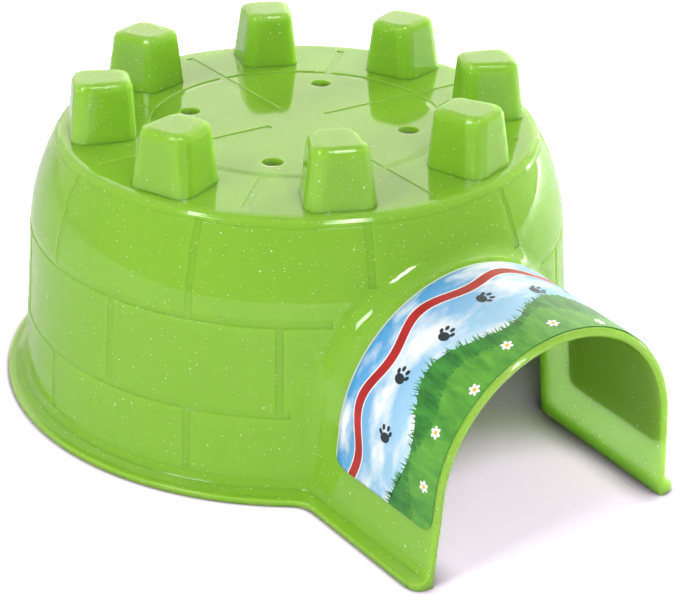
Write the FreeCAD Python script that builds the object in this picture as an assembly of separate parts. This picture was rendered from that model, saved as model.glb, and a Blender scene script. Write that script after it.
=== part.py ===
import FreeCAD
import Part
import math
import os

os.makedirs("parts", exist_ok=True)

# Sizes are in mm and angles in degrees. The floor is z = 0 and the doorway faces -Y.

# Moulding
wall = 1.8
draft = 5.0

# Dome
domeFootRad = 66.0
shoulderStart = 37.2
shoulderRad = 50.0
discHeight = 60.0
rimRound = 2.5
rimCutCount = 3
coreCutCount = 3

# Entrance tunnel
archRad = 30.2
archCentreZ = 17.6
tunnelReach = 97.3
tunnelTaper = 2.3
junctionRound = 5.5
mouthBreak = 0.5

# Foot flange
flangeWidth = 4.0
tunnelFlange = 3.0
flangeThick = 1.4
footFlare = 2.6
flareCutCount = 2
toeRound = 2.8

# Pegs on the disc, from their inner face to their outer face
pegCount = 8
pegInnerRad = 37.6
pegLength = 15.0
pegInnerWidth = 13.6
pegOuterWidth = 16.4
pegHeight = 13.2
pegDraft = 7.0
pegBackDraft = 2.0
pegCorner = 3.2
pegCutCount = 3
pegTopRound = 1.5
pegTopCutCount = 2
pegWall = 1.6

# Vents
ventCount = 4
ventCircleRad = 25.9
ventDia = 4.8

# Brick joints, pressed into the outside as shallow grooves
grooveWidth = 2.2
grooveSide = 0.25
grooveDepth = 0.25
lineShare = 0.9
rimJointShare = 0.5
rimJointDrop = 1.6
lowerCourseZ = 18.9
upperCourseZ = 39.3
footCourseZ = 4.4
brickCount = 10
discRingRad = 33.35
discBrickCount = 8
discLineEnd = 50.9
crossLineStart = 7.5
crossLineCount = 4

# Label
labelThick = 0.2
labelMargin = 1.1
labelGap = 0.8
labelFootZ = 12.2
labelCorner = 3.0

draftRad = math.radians(draft)
up = FreeCAD.Vector(0, 0, 1)
origin = FreeCAD.Vector(0, 0, 0)


def vec(x, y, z):
    return FreeCAD.Vector(x, y, z)


def joined(shapes):
    return shapes[0].multiFuse(shapes[1:]) if len(shapes) > 1 else shapes[0]


def edgesWhere(shape, test):
    found = []
    for edge in shape.Edges:
        middle = edge.valueAt((edge.FirstParameter + edge.LastParameter) / 2)
        if test(edge, middle):
            found.append(edge)
    return found


# The centre of the shoulder arc follows from the drafted wall it is tangent to
shoulderX = domeFootRad - shoulderStart * math.tan(draftRad) - shoulderRad * math.cos(draftRad)
shoulderZ = shoulderStart - shoulderRad * math.sin(draftRad)


def domeSkin(z):
    # Radius of the outside wall at a height, and the angle of its normal above level
    if z < shoulderStart:
        return domeFootRad - z * math.tan(draftRad), draftRad
    lean = math.asin((z - shoulderZ) / shoulderRad)
    return shoulderX + shoulderRad * math.cos(lean), lean


def shoulderPoint(inset, lean):
    arc = shoulderRad - inset
    return vec(shoulderX + arc * math.cos(lean), 0, shoulderZ + arc * math.sin(lean))


def domeOutside():
    # Drafted wall, shoulder arc, rim rounded in straight cuts, and flat disc
    rimZ = discHeight - rimRound
    rimX = shoulderX + math.sqrt((shoulderRad - rimRound) ** 2 - (rimZ - shoulderZ) ** 2)
    rimLean = math.atan2(rimZ - shoulderZ, rimX - shoulderX)
    wallTop = shoulderPoint(0, draftRad)
    shoulderMiddle = shoulderPoint(0, (draftRad + rimLean) / 2)
    points = []
    for i in range(rimCutCount + 1):
        lean = rimLean + (math.pi / 2 - rimLean) * i / rimCutCount
        points.append(vec(rimX + rimRound * math.cos(lean), 0, rimZ + rimRound * math.sin(lean)))
    shoulder = Part.Arc(wallTop, shoulderMiddle, points[0]).toShape()
    points += [vec(0, 0, discHeight), origin, vec(domeFootRad, 0, 0), wallTop]
    outline = Part.Wire([shoulder] + Part.makePolygon(points).Edges)
    return Part.Face(outline).revolve(origin, up, 360)


def chamberInside():
    # The core under it, one wall thickness in, with its shoulder turned in straight cuts
    ceiling = discHeight - wall
    topLean = math.asin((ceiling - shoulderZ) / (shoulderRad - wall))
    points = [origin, vec(domeFootRad - wall / math.cos(draftRad), 0, 0)]
    for i in range(coreCutCount + 1):
        points.append(shoulderPoint(wall, draftRad + (topLean - draftRad) * i / coreCutCount))
    points.append(vec(0, 0, ceiling))
    return Part.Face(Part.makePolygon(points + points[:1])).revolve(origin, up, 360)


def archWire(y, grow, footZ=0.0):
    # A round arch on drafted legs, at one station along the tunnel
    rad = archRad + grow
    legX = rad * math.cos(draftRad)
    legZ = archCentreZ + rad * math.sin(draftRad)
    footX = legX + (legZ - footZ) * math.tan(draftRad)
    rightFoot = vec(footX, y, footZ)
    rightTop = vec(legX, y, legZ)
    crown = vec(0, y, archCentreZ + rad)
    leftTop = vec(-legX, y, legZ)
    leftFoot = vec(-footX, y, footZ)
    return Part.Wire([
        Part.makeLine(rightFoot, rightTop),
        Part.Arc(rightTop, crown, leftTop).toShape(),
        Part.makeLine(leftTop, leftFoot),
        Part.makeLine(leftFoot, rightFoot),
    ])


def taperGrow(y):
    return (y + tunnelReach) * math.tan(math.radians(tunnelTaper))


def tunnelLoft(frontY, frontGrow, backY, backGrow, footZ=0.0):
    front = archWire(frontY, taperGrow(frontY) + frontGrow, footZ)
    back = archWire(backY, taperGrow(backY) + backGrow, footZ)
    return Part.makeLoft([front, back], True, True)


def tunnelHalfWidth(y, z):
    # Half the outside width of the tunnel at a height, none above the crown
    rad = archRad + taperGrow(y)
    legZ = archCentreZ + rad * math.sin(draftRad)
    if z < legZ:
        return rad * math.cos(draftRad) + (legZ - z) * math.tan(draftRad)
    return math.sqrt(max(rad ** 2 - (z - archCentreZ) ** 2, 0.0))


# The tunnel starts well inside the dome, where both insides are open
tunnelStartY = -domeFootRad / 3
lipY = mouthBreak - tunnelReach
tunnel = tunnelLoft(lipY, 0, tunnelStartY, 0)
lip = tunnelLoft(-tunnelReach, -mouthBreak, lipY, 0)
body = joined([domeOutside(), tunnel, lip])


def isJunction(edge, p):
    # The tunnel meets the dome where a point lies on both skins
    if p.z < 0.1 or p.z > discHeight - rimRound or p.y < 0.1 - tunnelReach:
        return False
    offDome = abs(math.hypot(p.x, p.y) - domeSkin(p.z)[0])
    offTunnel = abs(abs(p.x) - tunnelHalfWidth(p.y, p.z))
    nearCrown = abs(p.z - archCentreZ - archRad - taperGrow(p.y)) < 0.5
    return offDome < 0.05 and (offTunnel < 0.05 or nearCrown)


body = body.makeFillet(junctionRound, edgesWhere(body, isJunction))


def footprint(domeRad, sideHalf, cornerRad, z):
    # The plan of the foot: a circle and a tapered tongue, joined by round inside corners
    slope = math.tan(math.radians(tunnelTaper))
    lean = math.radians(tunnelTaper)
    offset = sideHalf + cornerRad / math.cos(lean) + tunnelReach * slope
    reach = domeRad + cornerRad
    a = 1 + slope ** 2
    b = offset * slope
    hubY = (-b - math.sqrt(b ** 2 - a * (offset ** 2 - reach ** 2))) / a
    hubX = offset + hubY * slope

    def corner(side):
        # Where the corner leaves the circle, its middle, and where it meets the tongue
        hub = vec(side * hubX, hubY, z)
        onCircle = vec(side * hubX, hubY, 0) * (domeRad / reach) + vec(0, 0, z)
        onSide = hub - vec(side * math.cos(lean), -math.sin(lean), 0) * cornerRad
        inward = (onCircle - hub).normalize() + (onSide - hub).normalize()
        return onCircle, hub + inward.normalize() * cornerRad, onSide

    right = corner(1)
    left = corner(-1)
    rightToe = vec(sideHalf, -tunnelReach, z)
    leftToe = vec(-sideHalf, -tunnelReach, z)
    back = vec(0, domeRad, z)
    rightSide = vec(domeRad, 0, z)
    leftSide = vec(-domeRad, 0, z)
    return Part.Wire([
        Part.Arc(right[0], rightSide, back).toShape(),
        Part.Arc(back, leftSide, left[0]).toShape(),
        Part.Arc(left[0], left[1], left[2]).toShape(),
        Part.makeLine(left[2], leftToe),
        Part.makeLine(leftToe, rightToe),
        Part.makeLine(rightToe, right[2]),
        Part.Arc(right[2], right[1], right[0]).toShape(),
    ])


def flangeOutline():
    sideHalf = tunnelHalfWidth(-tunnelReach, 0) + tunnelFlange
    return footprint(domeFootRad + flangeWidth, sideHalf, junctionRound, 0)


def flareOutline(spread, z):
    sideHalf = tunnelHalfWidth(-tunnelReach, z) + spread
    return footprint(domeSkin(z)[0] + spread, sideHalf, junctionRound, z)


# Flange: a flat plate with a hollow flare that runs up into the walls. The flare is a quarter
# round in straight cuts, and its top ends just under the skin of the wall
foot = [Part.Face(flangeOutline()).extrude(vec(0, 0, flangeThick))]
flareLevels = []
for i in range(flareCutCount + 1):
    turn = math.pi / 2 * i / flareCutCount
    spread = footFlare * (1 - math.sin(turn)) - (0.05 if i == flareCutCount else 0)
    flareLevels.append(flareOutline(spread, flangeThick + footFlare * (1 - math.cos(turn))))
for low, high in zip(flareLevels, flareLevels[1:]):
    foot.append(Part.makeLoft([low, high], True, True))
body = joined([body] + foot)


def roundedOutline(corners, rad, z):
    # A closed outline with every corner rounded by the same radius
    edges = []
    starts = []
    ends = []
    count = len(corners)
    for i in range(count):
        here = vec(corners[i][0], corners[i][1], z)
        before = vec(corners[i - 1][0], corners[i - 1][1], z)
        after = vec(corners[(i + 1) % count][0], corners[(i + 1) % count][1], z)
        toBefore = (before - here).normalize()
        toAfter = (after - here).normalize()
        half = toBefore.getAngle(toAfter) / 2
        inward = (toBefore + toAfter).normalize()
        middle = here + inward * (rad / math.sin(half) - rad)
        starts.append(here + toBefore * (rad / math.tan(half)))
        ends.append(here + toAfter * (rad / math.tan(half)))
        edges.append(Part.Arc(starts[i], middle, ends[i]).toShape())
    outline = []
    for i in range(count):
        outline.append(edges[i])
        outline.append(Part.makeLine(ends[i], starts[(i + 1) % count]))
    return Part.Wire(outline)


def pegRing(height, inset, cuts):
    # One level of a peg: four drafted sides, with the corners rounded in a few straight cuts
    sideLean = math.atan2(pegOuterWidth - pegInnerWidth, 2 * pegLength)
    sideDraft = height * math.tan(math.radians(pegDraft))
    backDraft = height * math.tan(math.radians(pegBackDraft))
    corner = pegCorner - inset
    innerHub = pegInnerRad + backDraft + pegCorner
    outerHub = pegInnerRad + pegLength - sideDraft - pegCorner
    flank = math.pi / 2 + sideLean
    turns = [
        (outerHub, -1, -flank, 0),
        (outerHub, 1, 0, flank),
        (innerHub, 1, flank, math.pi),
        (innerHub, -1, math.pi, 2 * math.pi - flank),
    ]
    points = []
    for hubX, side, startAngle, endAngle in turns:
        halfWidth = pegInnerWidth / 2 + (hubX - pegInnerRad) * math.tan(sideLean)
        hubY = side * (halfWidth - (sideDraft + pegCorner) / math.cos(sideLean))
        for i in range(cuts + 1):
            angle = startAngle + (endAngle - startAngle) * i / cuts
            x = hubX + corner * math.cos(angle)
            y = hubY + corner * math.sin(angle)
            points.append(vec(x, y, discHeight + height))
    return points


def flatSided(levels):
    # A solid of flat faces through a stack of outlines that have as many points each
    outlines = [levels[0], levels[-1]]
    for low, high in zip(levels, levels[1:]):
        for i in range(len(low)):
            outlines.append([low[i - 1], low[i], high[i], high[i - 1]])
    skin = Part.makeShell([Part.Face(Part.makePolygon(line + line[:1])) for line in outlines])
    skin.sewShape()
    return Part.makeSolid(skin)


def aroundAxis(shape, count, startDeg):
    copies = []
    for i in range(count):
        copy = shape.copy()
        copy.rotate(origin, up, startDeg + i * 360.0 / count)
        copies.append(copy)
    return copies


# Each peg starts inside the disc and ends in a rounded top edge, in straight cuts too
pegLevels = [pegRing(-wall / 2, 0, pegCutCount)]
for i in range(pegTopCutCount + 1):
    turn = math.pi / 2 * i / pegTopCutCount
    level = pegHeight - pegTopRound * (1 - math.sin(turn))
    pegLevels.append(pegRing(level, pegTopRound * (1 - math.cos(turn)), pegCutCount))
peg = flatSided(pegLevels)
pegStart = 180.0 / pegCount
body = joined([body] + aroundAxis(peg, pegCount, pegStart))

# Hollow: the chamber, the passage and one pocket in each peg
chamber = chamberInside()
passage = tunnelLoft(lipY, -wall, tunnelStartY, -wall)
mouth = tunnelLoft(lipY - wall, 0, lipY, -wall)
pocket = flatSided([pegRing(-2 * wall, pegWall, 1), pegRing(pegHeight - wall, pegWall, 1)])
body = body.cut(joined([chamber, passage, mouth] + aroundAxis(pocket, pegCount, pegStart)))

# Toes: the front corners of the flange are rounded in plan
toeSpan = 2 * toeRound
toes = []
for side in (-1, 1):
    centreX = side * (tunnelHalfWidth(-tunnelReach, 0) + tunnelFlange - toeRound)
    centreY = toeRound - tunnelReach
    block = Part.makeBox(toeSpan, toeSpan, toeSpan)
    block.translate(vec(centreX if side > 0 else centreX - toeSpan, centreY - toeSpan, -1))
    post = Part.makeCylinder(toeRound, toeSpan, vec(centreX, centreY, -1))
    toes.append(block.cut(post))
body = body.cut(joined(toes))

# Vents
vent = Part.makeCylinder(ventDia / 2, 4 * wall, vec(ventCircleRad, 0, discHeight - 3 * wall))
body = body.cut(joined(aroundAxis(vent, ventCount, 180.0 / ventCount)))

# Brick joints. Each tool reaches as far above the skin as it cuts below
def lineSection(base, across, outward):
    # A straight joint is a flat groove between slanted sides, a little shallower than a ring
    deep = outward * (grooveDepth * lineShare)
    floorHalf = across * (grooveWidth / 2 - grooveSide) * lineShare
    topHalf = across * (grooveWidth / 2 + grooveSide) * lineShare
    corners = [
        base - deep - floorHalf,
        base + deep - topHalf,
        base + deep + topHalf,
        base - deep + floorHalf,
    ]
    return Part.Face(Part.makePolygon(corners + corners[:1]))


def ringSection(base, across, outward, share):
    # A ring joint has one such side and slopes back out from its foot, so the mould lets it go
    steepEdge = base - across * (grooveWidth * share / 2)
    gentleEdge = base + across * (grooveWidth * share / 2)
    bottom = steepEdge + (across * grooveSide - outward * grooveDepth) * share
    corners = [bottom, steepEdge * 2 - bottom, gentleEdge * 2 - bottom]
    return Part.Face(Part.makePolygon(corners + corners[:1]))


def onSkin(z):
    # A point of the outside wall in the XZ plane, its normal and the way up along the wall
    rad, lean = domeSkin(z)
    outward = vec(math.cos(lean), 0, math.sin(lean))
    return vec(rad, 0, z), outward, vec(-math.sin(lean), 0, math.cos(lean))


def ringTool(z, fromDeg, spanDeg, share):
    base, outward, upward = onSkin(z)
    section = ringSection(base, upward, outward, share)
    section.rotate(origin, up, fromDeg)
    return section.revolve(origin, up, spanDeg)


sideways = vec(0, 1, 0)


def wallLineTool(lowZ, highZ):
    low, outward, upward = onSkin(lowZ)
    high = onSkin(highZ)[0]
    return lineSection(low, sideways, outward).extrude(high - low)


def shoulderLineTool(lowZ, highZ):
    # The same section bent along the shoulder arc
    low, outward, upward = onSkin(lowZ)
    highOutward = onSkin(highZ)[1]
    hub = vec(shoulderX, 0, shoulderZ)
    span = math.degrees(outward.getAngle(highOutward))
    return lineSection(low, sideways, outward).revolve(hub, -sideways, span)


def discLineTool(innerRad, outerRad):
    section = lineSection(vec(innerRad, 0, discHeight), sideways, up)
    return section.extrude(vec(outerRad - innerRad, 0, 0))


def clearAngle(z):
    # Half the angle that the tunnel and its round junction take up at a height
    rad = domeSkin(z)[0]
    halfWidth = tunnelHalfWidth(-rad, z) + junctionRound * 0.8
    return math.degrees(math.asin(min(halfWidth / rad, 1.0)))


rings = []
for courseZ in (lowerCourseZ, upperCourseZ):
    gap = clearAngle(courseZ)
    rings.append(ringTool(courseZ, -90 + gap, 360 - 2 * gap, 1.0))

# The rim joint is finer and runs just under the round rim, the disc ring half way in
rimJointZ = discHeight - rimJointDrop
rings.append(ringTool(rimJointZ, 0, 360, rimJointShare))
discSection = ringSection(vec(discRingRad, 0, discHeight), vec(-1, 0, 0), up, 1.0)
rings.append(discSection.revolve(origin, up, 360))
body = body.cut(joined(rings))

# Upright joints of three courses, each course half a brick round from the next. They end just
# past the deepest line of a ring joint, where its floor is still below theirs
ringFoot = grooveWidth / 2 - grooveSide * 1.4
brickAngle = 360.0 / brickCount
courses = [
    (footCourseZ, lowerCourseZ - ringFoot, 0.0),
    (lowerCourseZ - ringFoot, upperCourseZ - ringFoot, brickAngle / 2),
    (upperCourseZ - ringFoot, rimJointZ, 0.0),
]
lines = []
for lowZ, highZ, startDeg in courses:
    for i in range(brickCount):
        angle = startDeg + i * brickAngle
        fromTunnel = abs((angle + 90 + 180) % 360 - 180)
        bottomZ = lowZ
        while bottomZ < highZ and fromTunnel < clearAngle(bottomZ):
            bottomZ += 0.5
        if bottomZ > highZ - 2 * grooveWidth:
            continue
        if lowZ > shoulderStart:
            tool = shoulderLineTool(bottomZ, highZ)
        else:
            tool = wallLineTool(bottomZ, highZ)
        tool.rotate(origin, up, angle)
        lines.append(tool)

# Disc: lines between the pegs, of which every other one runs on inside the ring as a cross
for i in range(discBrickCount):
    onCross = i % (discBrickCount // crossLineCount) == 0
    innerEnd = crossLineStart if onCross else discRingRad + ringFoot
    line = discLineTool(innerEnd, discLineEnd)
    line.rotate(origin, up, i * 360.0 / discBrickCount)
    lines.append(line)
body = body.cut(joined(lines))

# Label: a thin sheet on the outside of the arch, with rounded corners seen from the side. It
# ends short of the round junction, which at the crown starts where the two skins meet
sheet = tunnelLoft(lipY, labelThick, tunnelStartY, labelThick)
sheet = sheet.cut(tunnelLoft(lipY - 1, 0, tunnelStartY, 0))
labelFrontY = labelMargin - tunnelReach
crownZ = archCentreZ + archRad + taperGrow(-domeFootRad)
crownRad, crownLean = domeSkin(crownZ)
blendLength = junctionRound / math.tan(math.pi / 4 + crownLean / 2)
labelBackY = -(crownRad + blendLength + labelGap)
labelTopZ = 2 * archRad + archCentreZ
sideView = roundedOutline([
    (labelFrontY, labelFootZ),
    (labelBackY, labelFootZ),
    (labelBackY, labelTopZ),
    (labelFrontY, labelTopZ),
], labelCorner, 0)
sideView.rotate(origin, vec(1, 1, 1), 120)
sideView.translate(vec(-2 * archRad, 0, 0))
label = sheet.common(Part.Face(sideView).extrude(vec(4 * archRad, 0, 0)))

# The origin sits on the floor under the centre of the whole part
centreShift = (tunnelReach - domeFootRad - flangeWidth) / 2
for name, shape in (("shell", body), ("label", label)):
    piece = shape.Solids[0]
    piece.translate(vec(0, centreShift, 0))
    piece.exportStep("parts/" + name + ".step")
    print(name, "valid", piece.isValid(), "solids", len(shape.Solids), "volume", round(piece.Volume, 1))
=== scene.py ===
import bpy
import math
import numpy as np
from mathutils import Matrix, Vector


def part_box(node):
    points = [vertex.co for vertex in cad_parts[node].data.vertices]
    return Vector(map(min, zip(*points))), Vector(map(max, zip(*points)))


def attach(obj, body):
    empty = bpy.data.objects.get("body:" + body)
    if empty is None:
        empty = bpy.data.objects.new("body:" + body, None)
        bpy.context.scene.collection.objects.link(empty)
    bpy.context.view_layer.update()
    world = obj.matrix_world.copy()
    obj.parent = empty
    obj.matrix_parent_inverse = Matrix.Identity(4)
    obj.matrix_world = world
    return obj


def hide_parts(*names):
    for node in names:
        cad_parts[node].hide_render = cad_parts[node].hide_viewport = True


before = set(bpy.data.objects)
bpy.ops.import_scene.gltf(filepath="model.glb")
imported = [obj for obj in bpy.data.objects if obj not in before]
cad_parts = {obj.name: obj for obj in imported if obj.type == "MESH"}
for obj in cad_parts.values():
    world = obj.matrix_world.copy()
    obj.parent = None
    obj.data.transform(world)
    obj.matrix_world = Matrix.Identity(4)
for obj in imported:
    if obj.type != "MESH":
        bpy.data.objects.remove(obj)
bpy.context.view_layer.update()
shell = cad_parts["shell"]
print("frame loaded:", sorted(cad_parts))

mm = 0.001


def hexColor(text):
    # sRGB hex to the linear colour that a socket takes
    parts = [int(text[i:i + 2], 16) / 255 for i in (1, 3, 5)]
    linear = [c / 12.92 if c <= 0.04045 else ((c + 0.055) / 1.055) ** 2.4 for c in parts]
    return (*linear, 1.0)


def addNode(tree, kind, inputs=None, **settings):
    # A node with its settings, and its sockets set to a value or linked to another socket
    node = tree.nodes.new(kind)
    for name, value in settings.items():
        setattr(node, name, value)
    for key, value in (inputs or {}).items():
        if isinstance(value, bpy.types.NodeSocket):
            tree.links.new(value, node.inputs[key])
        else:
            node.inputs[key].default_value = value
    return node


def newMaterial(name):
    # An empty node material and its tree
    material = bpy.data.materials.new(name)
    material.use_nodes = True
    material.node_tree.nodes.clear()
    return material, material.node_tree


def axesMatrix(right, up, back, place):
    # An object's matrix: its three axes are the columns, and its place in metres is the fourth
    rows = [[right[i], up[i], back[i], place[i]] for i in range(3)]
    return Matrix(rows + [[0.0, 0.0, 0.0, 1.0]])


# Camera, from a fit to the flange, the joints and the tunnel mouth
camera = {
    "place": (-202.81, -302.06, 204.13),    # mm
    "azimuth": -34.285,     # degrees, 0 looks along +Y
    "elevation": 26.979,
    "roll": 0.982,
    "lens": 91.61,      # mm on a 36 mm sensor
}


def makeCamera(c):
    # The back axis points from the view to the eye, and is worked out from azimuth and
    # elevation. The level right axis and the up axis are then turned about it by the roll
    az, el, roll = (math.radians(c[k]) for k in ("azimuth", "elevation", "roll"))
    back = np.array((math.sin(az) * math.cos(el), -math.cos(az) * math.cos(el), math.sin(el)))
    right = np.array((math.cos(az), math.sin(az), 0.0))
    up = np.cross(back, right)
    turnedRight = math.cos(roll) * right + math.sin(roll) * up
    turnedUp = math.cos(roll) * up - math.sin(roll) * right
    data = bpy.data.cameras.new("camera")
    data.lens = c["lens"]
    data.sensor_width = 36
    data.clip_start = 0.01
    item = bpy.data.objects.new("camera", data)
    item.matrix_world = axesMatrix(turnedRight, turnedUp, back, np.array(c["place"]) * mm)
    bpy.context.scene.collection.objects.link(item)
    bpy.context.scene.camera = item


makeCamera(camera)
print("camera placed")

# Shell: moulded translucent polystyrene
plastic = {
    "green": "#8EC338",
    "deepGreen": "#86BC33",
    "creaseShade": "#5E8F22",    # painted shade: joints, peg feet and other creases are darkened towards this where the occlusion test finds them closed in
    "creaseShadeReach": 0.6,     # mm, how far the occlusion test looks for the painted crease shade
    "fleck": "#FBFBD2",
    "roughness": 0.075,
    "ior": 1.53,
    "scatterDepth": 7.0,    # mm, well past the 1.8 mm wall, so that light comes through it
    "scatterColor": (1.2, 1.0, 1.4),    # how far red, green and blue go, as shares of it
    "flecks": (2.1, 1.15, 0.7),     # mm between glitter flecks, coarse to fine
    "fleckSize": (0.26, 0.18, 0.13),    # mm, radius of the largest
    "fleckShare": (0.52, 0.50, 0.55),   # cells below this random value hold no fleck
    "fleckGlint": (0.12, 1.0),      # the dimmest and the brightest fleck; the bright ones are a painted glint
    "patch": 6.0,       # mm, the flecks lie denser in patches of about this size
    "patchShare": (-0.3, 0.2),      # added to the random value, from thin to dense
    "cloudy": 26.0,     # mm, length of the slow change between the two greens
    # mm, the rounding that the eye reads on an edge, by height on the part
    "edgeRound": ((0, 0.6), (4.2, 0.6), (4.6, 0.12), (58.6, 0.12), (58.8, 0.3),
                  (59.6, 0.3), (59.8, 0.12), (60.3, 0.12), (62.0, 1.2)),
    "profileTop": 80.0,     # mm, the height that ends the list above
    "roundSamples": 7,
    "ripple": 20.0,     # mm, length of the faint waves that the mould leaves
    "rippleDepth": 0.05,    # mm
}


def addFlecks(tree, where, color, p):
    # Each layer is a field of cells, of which some hold a round fleck of random size and
    # brightness, the bright ones a painted glint
    patch = addNode(tree, "ShaderNodeTexNoise", {
        "Vector": where, "Scale": 1 / (p["patch"] * mm), "Detail": 1.0})
    denser = addNode(tree, "ShaderNodeMapRange", {
        "Value": patch.outputs["Fac"], "From Min": 0.35, "From Max": 0.65,
        "To Min": p["patchShare"][0], "To Max": p["patchShare"][1]})
    for spacing, size, share in zip(p["flecks"], p["fleckSize"], p["fleckShare"]):
        cells = addNode(tree, "ShaderNodeTexVoronoi", {
            "Vector": where, "Scale": 1 / (spacing * mm), "Randomness": 1.0})
        luck = addNode(tree, "ShaderNodeSeparateColor", {"Color": cells.outputs["Color"]})
        reach = addNode(tree, "ShaderNodeMapRange", {
            "Value": luck.outputs["Green"], "To Min": 0.3 * size / spacing,
            "To Max": size / spacing})
        inside = addNode(tree, "ShaderNodeMath", {
            0: cells.outputs["Distance"], 1: reach.outputs[0]}, operation="LESS_THAN")
        chance = addNode(tree, "ShaderNodeMath", {
            0: luck.outputs["Red"], 1: denser.outputs[0]}, operation="ADD")
        chosen = addNode(tree, "ShaderNodeMath", {
            0: chance.outputs[0], 1: share}, operation="GREATER_THAN")
        shown = addNode(tree, "ShaderNodeMath", {
            0: inside.outputs[0], 1: chosen.outputs[0]}, operation="MULTIPLY")
        glint = addNode(tree, "ShaderNodeMath", {
            0: luck.outputs["Blue"], 1: 1.6}, operation="POWER")
        amount = addNode(tree, "ShaderNodeMapRange", {
            "Value": glint.outputs[0], "To Min": p["fleckGlint"][0],
            "To Max": p["fleckGlint"][1]})
        both = addNode(tree, "ShaderNodeMath", {
            0: shown.outputs[0], 1: amount.outputs[0]}, operation="MULTIPLY")
        color = addNode(tree, "ShaderNodeMix", {
            0: both.outputs[0], 6: color, 7: hexColor(p["fleck"])}, data_type="RGBA").outputs[2]
    return color


def shellPlastic(p):
    # Clear green polystyrene with glitter in it: glossy, and light goes some way in. Pale glitter
    # flecks are painted into the colour, most faint and some bright, and the bright ones are a
    # painted glint
    material, tree = newMaterial("translucent_polystyrene")
    where = addNode(tree, "ShaderNodeTexCoord").outputs["Object"]
    cloudy = addNode(tree, "ShaderNodeTexNoise", {
        "Vector": where, "Scale": 1 / (p["cloudy"] * mm), "Detail": 3.0, "Roughness": 0.5})
    color = addNode(tree, "ShaderNodeMix", {
        0: cloudy.outputs["Fac"], 6: hexColor(p["deepGreen"]), 7: hexColor(p["green"])},
        data_type="RGBA").outputs[2]
    # Painted shade: where the surface is closed in within the reach, as in the joints and round
    # the peg feet, the colour darkens towards the crease shade colour
    exposed = addNode(tree, "ShaderNodeAmbientOcclusion", {
        "Distance": p["creaseShadeReach"] * mm}, samples=8, only_local=True)
    color = addNode(tree, "ShaderNodeMix", {
        0: exposed.outputs["AO"], 6: hexColor(p["creaseShade"]), 7: color},
        data_type="RGBA").outputs[2]
    color = addFlecks(tree, where, color, p)
    waves = addNode(tree, "ShaderNodeTexNoise", {
        "Vector": where, "Scale": 1 / (p["ripple"] * mm), "Detail": 1.0})
    height = addNode(tree, "ShaderNodeSeparateXYZ", {"Vector": where})
    level = addNode(tree, "ShaderNodeMath", {
        0: height.outputs["Z"], 1: 1 / (p["profileTop"] * mm)}, operation="MULTIPLY")
    ramp = addNode(tree, "ShaderNodeValToRGB", {"Fac": level.outputs[0]})
    stops = ramp.color_ramp.elements
    full = 2.0      # mm, the rounding that white stands for in the ramp
    for i, (z, rad) in enumerate(p["edgeRound"]):
        share = z / p["profileTop"]
        stop = stops[i] if i < 2 else stops.new(share)      # a new ramp has two stops
        stop.position = share
        stop.color = (rad / full, rad / full, rad / full, 1.0)
    radius = addNode(tree, "ShaderNodeMath", {
        0: ramp.outputs["Color"], 1: full * mm}, operation="MULTIPLY")
    rounded = addNode(tree, "ShaderNodeBevel", {
        "Radius": radius.outputs[0]}, samples=p["roundSamples"])
    relief = addNode(tree, "ShaderNodeBump", {
        "Height": waves.outputs["Fac"], "Distance": p["rippleDepth"] * mm,
        "Strength": 1.0, "Normal": rounded.outputs[0]})
    surface = addNode(tree, "ShaderNodeBsdfPrincipled", {
        "Base Color": color, "Roughness": p["roughness"], "IOR": p["ior"],
        "Subsurface Weight": 1.0, "Subsurface Radius": p["scatterColor"],
        "Subsurface Scale": p["scatterDepth"] * mm, "Normal": relief.outputs[0]},
        subsurface_method="RANDOM_WALK")
    addNode(tree, "ShaderNodeOutputMaterial", {"Surface": surface.outputs[0]})
    return material


shell.material_slots[0].material = shellPlastic(plastic)
print("shell finished")

# Label: a laminated paper sheet wrapped over the tunnel
low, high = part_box("label")
label = {
    "archRad": 30.2,        # mm, the tunnel's outside at its mouth
    "archCentreZ": 17.6,
    "mouthY": -83.65,
    "taper": 2.3,       # degrees, the tunnel widens to the rear
    "draft": 5.0,       # degrees, its legs lean
    "frontY": low.y / mm,
    "width": (high.y - low.y) / mm,
    "footZ": low.z / mm,
    "corner": 3.0,
    "thick": 0.18,
    "lift": 0.2,        # mm, the sheet's upper face above the plastic
    "meanRad": 30.9,        # mm, turns an angle on the arch into a length
    "leg": 8.2,     # mm, the straight part below the arch
    "grid": (161, 27),      # points along the arch and across the sheet
}
archSpan = math.radians(90 - label["draft"])
archLength = label["meanRad"] * archSpan
halfLength = archLength + label["leg"]


def labelPoint(u, v, lift):
    # u runs along the arch from its crown and v back from the front edge, both in mm. The
    # arch is a circle whose radius grows with v, and past its span the leg drops to the foot
    u, v = np.broadcast_arrays(np.asarray(u, float), np.asarray(v, float))
    y = label["frontY"] + v
    rad = label["archRad"] + (y - label["mouthY"]) * math.tan(math.radians(label["taper"])) + lift
    angle = np.minimum(np.abs(u) / label["meanRad"], archSpan)
    x = rad * np.sin(angle)
    z = label["archCentreZ"] + rad * np.cos(angle)
    drop = (z - label["footZ"]) * np.clip((np.abs(u) - archLength) / label["leg"], 0, 1)
    x = np.sign(u) * (x + drop * math.tan(math.radians(label["draft"])))
    return np.stack([x, y, z - drop], axis=-1) * mm


def cornerTrim(u):
    # How far the sheet's ends draw in at u: the sagitta of a circle of the corner's radius
    corner = label["corner"]
    past = np.clip(corner - (halfLength - np.abs(u)), 0, corner)
    return corner - np.sqrt(corner ** 2 - past ** 2)


def gridFaces(rows, columns):
    # The quads of a grid whose points are numbered along each row in turn
    start = (np.arange(rows - 1)[:, None] * columns + np.arange(columns - 1)).ravel()
    return np.stack([start, start + 1, start + columns + 1, start + columns], axis=1)


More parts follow.
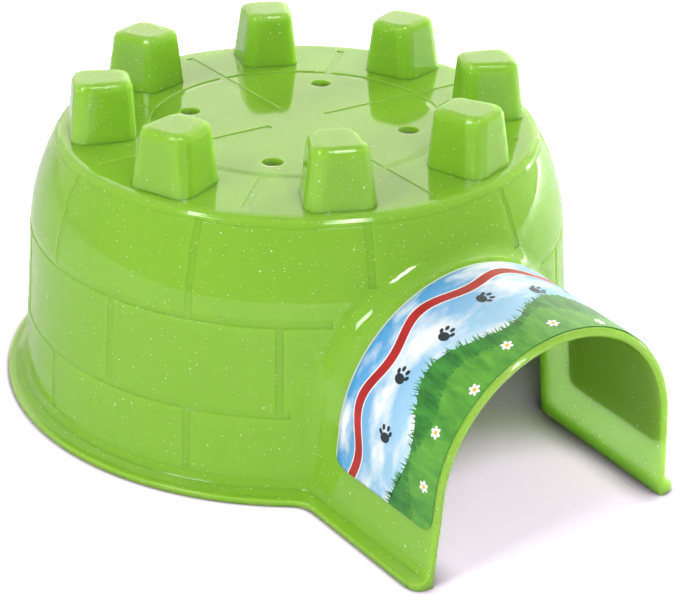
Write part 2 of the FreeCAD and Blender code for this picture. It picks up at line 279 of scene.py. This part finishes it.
def newPiece(name, points, faces, materials, faceMaterial=None, uv=None, smooth=True):
    # A piece at the origin from points in metres. The map "print" is in label lengths
    mesh = bpy.data.meshes.new(name)
    mesh.from_pydata(points.reshape(-1, 3).tolist(), [], faces)
    for material in materials:
        mesh.materials.append(material)
    if faceMaterial is not None:
        mesh.polygons.foreach_set("material_index", np.array(faceMaterial, np.int32))
    if uv is not None:
        corners = np.zeros(len(mesh.loops), np.int32)
        mesh.loops.foreach_get("vertex_index", corners)
        layer = mesh.uv_layers.new(name="print")
        layer.data.foreach_set("uv", uv.reshape(-1, 2)[corners].astype(np.float32).ravel())
    mesh.polygons.foreach_set("use_smooth", np.full(len(mesh.polygons), smooth))
    mesh.update()
    piece = bpy.data.objects.new(name, mesh)
    bpy.context.scene.collection.objects.link(piece)
    return piece


paper = {
    "skyTop": "#3F9BDB",
    "skyLow": "#A9D6F2",
    "cloud": "#FBFDFF",
    "cloudSize": 7.5,       # mm
    "cloudLean": 0.5,       # radians, and stretched along the lean by the share below
    "cloudStretch": 0.45,
    "cloudEdge": (0.46, 0.64),      # noise values where a cloud begins and is full
    "skyLowest": 12.0,      # mm from the front edge, where the pale sky starts
    "meadow": "#3F9A38",
    "meadowEdge": 6.0,      # mm from the front edge, under the printed hills
    "border": 0.45,     # mm, left white along the rear edge
    "roughness": 0.34,
    "ior": 1.5,
    "coat": 0.12,
    "coatRoughness": 0.12,
}


def filmedPrint(tree, color):
    # Ink or paper under a clear laminating film, which gives a faint even gloss
    surface = addNode(tree, "ShaderNodeBsdfPrincipled", {
        "Base Color": color, "Roughness": paper["roughness"], "IOR": paper["ior"],
        "Coat Weight": paper["coat"], "Coat Roughness": paper["coatRoughness"]})
    addNode(tree, "ShaderNodeOutputMaterial", {"Surface": surface.outputs[0]})


def printedPaper(p):
    # White paper printed with a sky that deepens to the rear, and soft leaning clouds
    material, tree = newMaterial("laminated_paper")
    uv = addNode(tree, "ShaderNodeUVMap", uv_map="print").outputs[0]
    across = addNode(tree, "ShaderNodeSeparateXYZ", {"Vector": uv}).outputs["Y"]
    stretched = addNode(tree, "ShaderNodeMapping", {
        "Vector": uv, "Rotation": (0, 0, p["cloudLean"]),
        "Scale": (p["cloudStretch"], 1.0, 1.0)})
    puffs = addNode(tree, "ShaderNodeTexNoise", {
        "Vector": stretched.outputs[0], "Scale": 1 / p["cloudSize"], "Detail": 5.0,
        "Roughness": 0.55})
    height = addNode(tree, "ShaderNodeMapRange", {
        "Value": across, "From Min": p["skyLowest"], "From Max": label["width"]})
    sky = addNode(tree, "ShaderNodeMix", {
        0: height.outputs[0], 6: hexColor(p["skyLow"]), 7: hexColor(p["skyTop"])},
        data_type="RGBA")
    cover = addNode(tree, "ShaderNodeMapRange", {
        "Value": puffs.outputs["Fac"], "From Min": p["cloudEdge"][0],
        "From Max": p["cloudEdge"][1]})
    clouded = addNode(tree, "ShaderNodeMix", {
        0: cover.outputs[0], 6: sky.outputs[2], 7: hexColor(p["cloud"])}, data_type="RGBA")
    onMeadow = addNode(tree, "ShaderNodeMath", {
        0: across, 1: p["meadowEdge"]}, operation="LESS_THAN")
    grassed = addNode(tree, "ShaderNodeMix", {
        0: onMeadow.outputs[0], 6: clouded.outputs[2], 7: hexColor(p["meadow"])},
        data_type="RGBA")
    onBorder = addNode(tree, "ShaderNodeMath", {
        0: across, 1: label["width"] - p["border"]}, operation="GREATER_THAN")
    color = addNode(tree, "ShaderNodeMix", {
        0: onBorder.outputs[0], 6: grassed.outputs[2], 7: hexColor(p["cloud"])},
        data_type="RGBA")
    filmedPrint(tree, color.outputs[2])
    return material


def printedInk(name, light, dark, grain):
    # A printed colour under the same film, mottled between two inks in streaks that run across
    # the sheet. A real halftone is far finer than a pixel, so the grain is coarser, in mm
    material, tree = newMaterial(name)
    uv = addNode(tree, "ShaderNodeUVMap", uv_map="print").outputs[0]
    streaked = addNode(tree, "ShaderNodeMapping", {"Vector": uv, "Scale": (1.0, 0.3, 1.0)})
    mottle = addNode(tree, "ShaderNodeTexNoise", {
        "Vector": streaked.outputs[0], "Scale": 1 / grain, "Detail": 4.0, "Roughness": 0.6})
    spread = addNode(tree, "ShaderNodeMapRange", {
        "Value": mottle.outputs["Fac"], "From Min": 0.35, "From Max": 0.65})
    color = addNode(tree, "ShaderNodeMix", {
        0: spread.outputs[0], 6: hexColor(dark), 7: hexColor(light)}, data_type="RGBA")
    filmedPrint(tree, color.outputs[2])
    return material


# Sheet: a grid whose columns shorten toward the foot, which rounds its four corners
columns, rows = label["grid"]
uSheet = np.linspace(-halfLength, halfLength, columns)
trim = cornerTrim(uSheet)
share = np.linspace(0, 1, rows)[:, None]
vSheet = trim + (label["width"] - 2 * trim) * share
uGrid = np.broadcast_to(uSheet, vSheet.shape)
sheet = newPiece(
    "label_sheet", labelPoint(uGrid, vSheet, label["lift"]), gridFaces(rows, columns).tolist(),
    [printedPaper(paper)], uv=np.stack([uGrid, vSheet], axis=-1))
solid = sheet.modifiers.new("thickness", "SOLIDIFY")
solid.thickness = label["thick"] * mm
solid.offset = -1
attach(sheet, "root")
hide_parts("label")
print("label sheet made")

# Print: flat motifs laid on the sheet, each kind of ink a little above the one under it.
# A printed green, red or slate is flat and deep, and the white is the bare bright paper
inks = [
    printedInk("ink_meadow_green", "#3F9534", "#226B28", 2.2),
    printedInk("ink_leaf_green", "#69B03A", "#3F8C30", 2.6),
    printedInk("ink_red", "#C01622", "#A50F1A", 6.0),
    printedInk("ink_white", "#FFFFFF", "#F4F6F6", 4.0),
    printedInk("ink_yellow", "#F9CF3A", "#F2B81E", 2.0),
    printedInk("ink_slate", "#22303A", "#16222B", 3.0),
]
meadow, leaf, red, white, yellow, slate = range(6)
motifs = {
    "hillHeight": (11.5, 7.2),      # mm from the front edge, far hill and near hill
    "hillSwell": (2.2, 1.8),
    "hillLength": (31.0, 23.0),
    "bladeCount": (330, 260),
    "bladeHeight": (2.6, 2.2),
    "ribbonPlace": 25.3,        # mm from the front edge to the ribbon's middle line
    "ribbonWidth": 2.3,
    "ribbonSwing": 1.3,
    "ribbonLength": 21.4,       # mm, one wave
    "pinstripe": 0.3,
    "flowerCount": 9,
    "flowerFirst": -45,     # mm along the arch from its crown
    "flowerStep": 11.2,
    "flowerPlace": 3.4,     # mm from the front edge, give or take the swing
    "flowerSwing": 1.5,
    "flowerRad": 1.35,
    "pawCount": 8,
    "pawFirst": -41,
    "pawStep": 11.8,
    "pawPlace": 18.0,
    "pawStride": (-1.1, 1.3),       # mm, the even and the odd paws beside the line
    "pawSize": 1.0,
    "inkStep": 0.006,       # mm from one layer of ink to the next
    "seed": 5,
}
parts = []


def addPart(u, v, faces, ink, layer):
    # Keeps a motif that is drawn in label lengths until all are joined into one mesh
    parts.append((np.ravel(u), np.ravel(v), np.asarray(faces), ink, layer))


def addBand(lowEdge, highEdge, ink, layer, steps=240, across=2):
    # The strip between two curves v(u) along the whole label, kept inside its outline
    margin = 0.02       # mm
    u = np.linspace(-halfLength + margin, halfLength - margin, steps)
    cut = cornerTrim(u)
    bottom = np.clip(lowEdge(u), cut, label["width"] - cut)
    top = np.clip(highEdge(u), cut, label["width"] - cut)
    t = np.linspace(0, 1, across)[:, None]
    addPart(np.broadcast_to(u, (across, steps)), bottom + (top - bottom) * t,
            gridFaces(across, steps), ink, layer)


def addShape(centreU, centreV, radius, turn, ink, layer, points=24):
    # A closed figure: a fan of triangles about a centre, with its outline at radius(angle)
    angle = np.linspace(0, 2 * math.pi, points, endpoint=False)
    reach = radius(angle)
    u = np.concatenate([[centreU], centreU + reach * np.cos(angle + turn)])
    v = np.concatenate([[centreV], centreV + reach * np.sin(angle + turn)])
    ring = np.arange(points)
    fan = np.stack([np.zeros(points, int), ring + 1, (ring + 1) % points + 1], axis=1)
    addPart(u, v, fan, ink, layer)


def ellipse(longRad, shortRad):
    # The radius at angle a: the product of the half axes over the length of their cross terms
    return lambda a: longRad * shortRad / np.hypot(shortRad * np.cos(a), longRad * np.sin(a))


def crest(index):
    # The skyline of a hill: two waves of unlike length about its mean height
    level, swell, length = (motifs[k][index] for k in ("hillHeight", "hillSwell", "hillLength"))
    return lambda u: level + swell * (
        np.sin(2 * math.pi * u / length + index) + 0.4 * np.sin(5.1 * u / length + 2 * index))


chance = np.random.default_rng(motifs["seed"])


def addGrass(index, ink, layer):
    # Blades along a skyline: thin triangles that lean at random, on a hill of the same ink.
    # Each tip stands above the middle of its foot by its height, and beside it by its lean
    addBand(lambda u: 0 * u, crest(index), ink, layer, across=4)
    count = motifs["bladeCount"][index]
    foot = chance.uniform(-halfLength + 0.6, halfLength - 0.6, count)
    tall = motifs["bladeHeight"][index] * chance.uniform(0.35, 1.0, count)
    lean = chance.uniform(-0.5, 0.5, count) * tall
    half = chance.uniform(0.12, 0.26, count)
    base = crest(index)(foot) - 0.3
    u = np.stack([foot - half, foot + half, foot + lean], axis=1)
    v = np.stack([base, base, base + tall], axis=1)
    addPart(u, v, np.arange(3 * count).reshape(-1, 3), ink, layer)


def ribbonLine(phase):
    # The ribbon's middle: a sine wave about its place
    return lambda u: motifs["ribbonPlace"] + motifs["ribbonSwing"] * np.sin(
        2 * math.pi * u / motifs["ribbonLength"] + phase)


def addRibbon(phase, ink, layer):
    # A waved ribbon between two white pinstripes
    middle = ribbonLine(phase)
    half = motifs["ribbonWidth"] / 2
    edge = half + motifs["pinstripe"]
    addBand(lambda u: middle(u) - edge, lambda u: middle(u) + edge, white, layer)
    addBand(lambda u: middle(u) - half, lambda u: middle(u) + half, ink, layer + 1)


def addFlower(u, v, turn):
    # Six petals, an outline that swells with the cosine of three times the angle, and an eye
    rad = motifs["flowerRad"]
    addShape(u, v, lambda a: rad * (0.55 + 0.45 * np.abs(np.cos(3 * a))), turn, white, 8, 48)
    addShape(u, v, lambda a: 0.33 * rad + 0 * a, 0, yellow, 9, 16)


def addPaw(u, v, turn):
    # An oval pad and four oval toes, each at a distance and an angle from the pad's centre
    size = motifs["pawSize"]
    addShape(u, v, ellipse(1.35 * size, 1.05 * size), turn, slate, 7)
    ahead = turn + math.pi / 2
    for along, angle in ((1.75, -0.95), (2.15, -0.33), (2.15, 0.33), (1.75, 0.95)):
        toeU = u + size * along * math.cos(ahead + angle)
        toeV = v + size * along * math.sin(ahead + angle)
        addShape(toeU, toeV, ellipse(0.62 * size, 0.42 * size), ahead + 0.6 * angle, slate, 7)


addGrass(0, meadow, 1)
addGrass(1, leaf, 2)
addRibbon(0.0, red, 3)
for i in range(motifs["flowerCount"]):
    place = motifs["flowerPlace"] + motifs["flowerSwing"] * math.sin(2.3 * i)
    addFlower(motifs["flowerFirst"] + motifs["flowerStep"] * i, place, 0.4 * i)
for i in range(motifs["pawCount"]):
    place = motifs["pawPlace"] + motifs["pawStride"][i % 2]
    addPaw(motifs["pawFirst"] + motifs["pawStep"] * i, place, -math.pi / 2 + 0.18 * (-1) ** i)

# All motifs become one mesh. Each keeps its own points, so the faces are counted on from it
pointLists, faceLists, inkLists, uvLists = [], [], [], []
count = 0
for u, v, faces, ink, layer in parts:
    pointLists.append(labelPoint(u, v, label["lift"] + motifs["inkStep"] * layer))
    uvLists.append(np.stack([u, v], axis=-1))
    faceLists += (faces + count).tolist()
    inkLists += [ink] * len(faces)
    count += len(u)
printed = newPiece(
    "label_motifs", np.concatenate(pointLists), faceLists, inks, faceMaterial=inkLists,
    uv=np.concatenate(uvLists), smooth=False)
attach(printed, "root")
print("label motifs:", len(parts), "shapes,", len(faceLists), "faces")

# Studio: a white floor, a bright sweep behind, a dim room behind the camera and soft boxes
studio = {
    "floor": "#EAE8EA",
    "floorHalf": 2000.0,    # mm, from the part to the floor's edges
    "openGain": 1.75,    # for the camera only, so that the lit floor is white
    "archShadeLift": (3.3, 2.5, 3.7),       # the same under the arch, where the walls tint the light: higher and less green, a painted lift that lightens that shadow and takes out its tint
    "footShadowTint": (0.17, 0.15, 0.19),      # the same in the narrow gap at the foot: low, a painted contact shadow
    "archShadeReach": 70.0,     # mm, how far the occlusion test looks for the painted lift under the arch
    "footShadowReach": 8.0,    # mm, the same for the painted contact shadow
    "footShadowShare": (0.45, 0.97),       # openness at which the painted contact shadow is full and is gone
    "sweepTint": "#FFFBE8",
    "rear": (0.563, 0.826, 0.0),        # level direction from the camera to the part
    "roomEdge": (0.0, 0.6),     # where the dim room gives way to the white sweep
    "roomSeen": 0.45,       # brightness in reflections, of the room and the sweep
    "sweepSeen": 1.0,
    "roomLight": 0.25,      # brightness as light on the part
    "sweepLight": 0.5,
}


def makeFloor(s):
    # Matt white card, a little cool. For the camera alone its colour is raised so that the lit
    # floor is white. Under the arch it is raised further and made a neutral grey, a painted lift
    # of the shadow there. At the foot it is darkened to a soft dark line, a painted contact
    # shadow. Other rays see the plain paint
    material, tree = newMaterial("matt_white_card")
    path = addNode(tree, "ShaderNodeLightPath")
    paint = hexColor(s["floor"])
    sunny = (*(a * s["openGain"] for a in paint[:3]), 1.0)
    under = (*(a * b for a, b in zip(paint, s["archShadeLift"])), 1.0)
    footShadow = (*(a * b for a, b in zip(paint, s["footShadowTint"])), 1.0)
    # Painted shade: two occlusion tests pick out the floor under the arch and the narrow gap at
    # the foot
    around = addNode(tree, "ShaderNodeAmbientOcclusion", {
        "Distance": s["archShadeReach"] * mm}, samples=8)
    near = addNode(tree, "ShaderNodeAmbientOcclusion", {
        "Distance": s["footShadowReach"] * mm}, samples=8)
    covered = addNode(tree, "ShaderNodeMix", {
        0: around.outputs["AO"], 6: under, 7: sunny}, data_type="RGBA")
    clear = addNode(tree, "ShaderNodeMapRange", {
        "Value": near.outputs["AO"], "From Min": s["footShadowShare"][0],
        "From Max": s["footShadowShare"][1]})
    seen = addNode(tree, "ShaderNodeMix", {
        0: clear.outputs[0], 6: footShadow, 7: covered.outputs[2]}, data_type="RGBA")
    color = addNode(tree, "ShaderNodeMix", {
        0: path.outputs["Is Camera Ray"], 6: paint, 7: seen.outputs[2]}, data_type="RGBA")
    card = addNode(tree, "ShaderNodeBsdfDiffuse", {"Color": color.outputs[2]})
    addNode(tree, "ShaderNodeOutputMaterial", {"Surface": card.outputs[0]})
    half = s["floorHalf"] * mm
    corner = np.array([(-half, -half, 0), (half, -half, 0), (half, half, 0), (-half, half, 0)])
    floor = newPiece("floor", corner, [(0, 1, 2, 3)], [material])


def makeWorld(s):
    # White for the camera. Other rays see a dim room on the camera's side and white behind: the
    # strength rises with the dot product of the ray and the rearward direction
    world = bpy.data.worlds.new("studio")
    bpy.context.scene.world = world
    world.use_nodes = True
    tree = world.node_tree
    tree.nodes.clear()
    path = addNode(tree, "ShaderNodeLightPath")
    direction = addNode(tree, "ShaderNodeTexCoord").outputs["Generated"]
    rearward = addNode(tree, "ShaderNodeVectorMath", {
        0: direction, 1: s["rear"]}, operation="DOT_PRODUCT")
    backgrounds = []
    white = hexColor("#FFFFFF")
    for low, high, tint in ((s["roomLight"], s["sweepLight"], white),
                            (s["roomSeen"], s["sweepSeen"], hexColor(s["sweepTint"]))):
        strength = addNode(tree, "ShaderNodeMapRange", {
            "Value": rearward.outputs["Value"], "From Min": s["roomEdge"][0],
            "From Max": s["roomEdge"][1], "To Min": low, "To Max": high})
        backgrounds.append(addNode(tree, "ShaderNodeBackground", {
            "Color": tint, "Strength": strength.outputs[0]}))
    plain = addNode(tree, "ShaderNodeBackground", {"Color": white, "Strength": 1.0})
    mirrored = addNode(tree, "ShaderNodeMath", {
        0: path.outputs["Is Glossy Ray"], 1: path.outputs["Is Transmission Ray"]},
        operation="MAXIMUM")
    lit = addNode(tree, "ShaderNodeMixShader", {
        0: mirrored.outputs[0], 1: backgrounds[0].outputs[0], 2: backgrounds[1].outputs[0]})
    either = addNode(tree, "ShaderNodeMixShader", {
        0: path.outputs["Is Camera Ray"], 1: lit.outputs[0], 2: plain.outputs[0]})
    addNode(tree, "ShaderNodeOutputWorld", {"Surface": either.outputs[0]})


makeFloor(studio)
makeWorld(studio)

lamps = {
    # direction from the part in degrees (azimuth from +X, elevation), distance and size in mm,
    # watts, and whether the gloss shows the lamp
    "key": ((-96, 50), 1800, (450, 420), 8.8, True),
    "spark": ((-95, 50), 1800, (560, 240), 14.0, True),     # a bare tube, in the gloss alone
    "left": ((187, 43), 900, (240, 240), 2.35, True),
    "fill": ((-121, 8), 1100, (800, 300), 3.9, False),
    "leftFill": ((162, 15), 1000, (500, 500), 1.5, False),
    "right": ((10, 10), 1000, (500, 400), 17.0, False),     # shines through the tunnel's wall
    "sweep": ((56, 28), 1250, (1500, 900), 3.6, True),
}


def makeLamp(name, direction, distance, size, watts, mirrored):
    # A soft box that faces the part: it stands at the distance along the unit vector of its
    # azimuth and elevation, with its width level
    az, el = (math.radians(angle) for angle in direction)
    back = np.array((math.cos(az) * math.cos(el), math.sin(az) * math.cos(el), math.sin(el)))
    right = np.array((-math.sin(az), math.cos(az), 0.0))
    data = bpy.data.lights.new(name, "AREA")
    data.shape = "RECTANGLE"
    data.size = size[0] * mm
    data.size_y = size[1] * mm
    data.energy = watts
    data.color = hexColor(studio["sweepTint"] if name == "sweep" else "#FFFFFF")[:3]
    lamp = bpy.data.objects.new(name, data)
    lamp.matrix_world = axesMatrix(right, np.cross(back, right), back, back * distance * mm)
    lamp.visible_glossy = mirrored
    lamp.visible_diffuse = name != "spark"
    lamp.visible_camera = False
    bpy.context.scene.collection.objects.link(lamp)


for name, values in lamps.items():
    makeLamp(name, *values)

bpy.context.scene.view_settings.view_transform = "Standard"
print("studio lit")
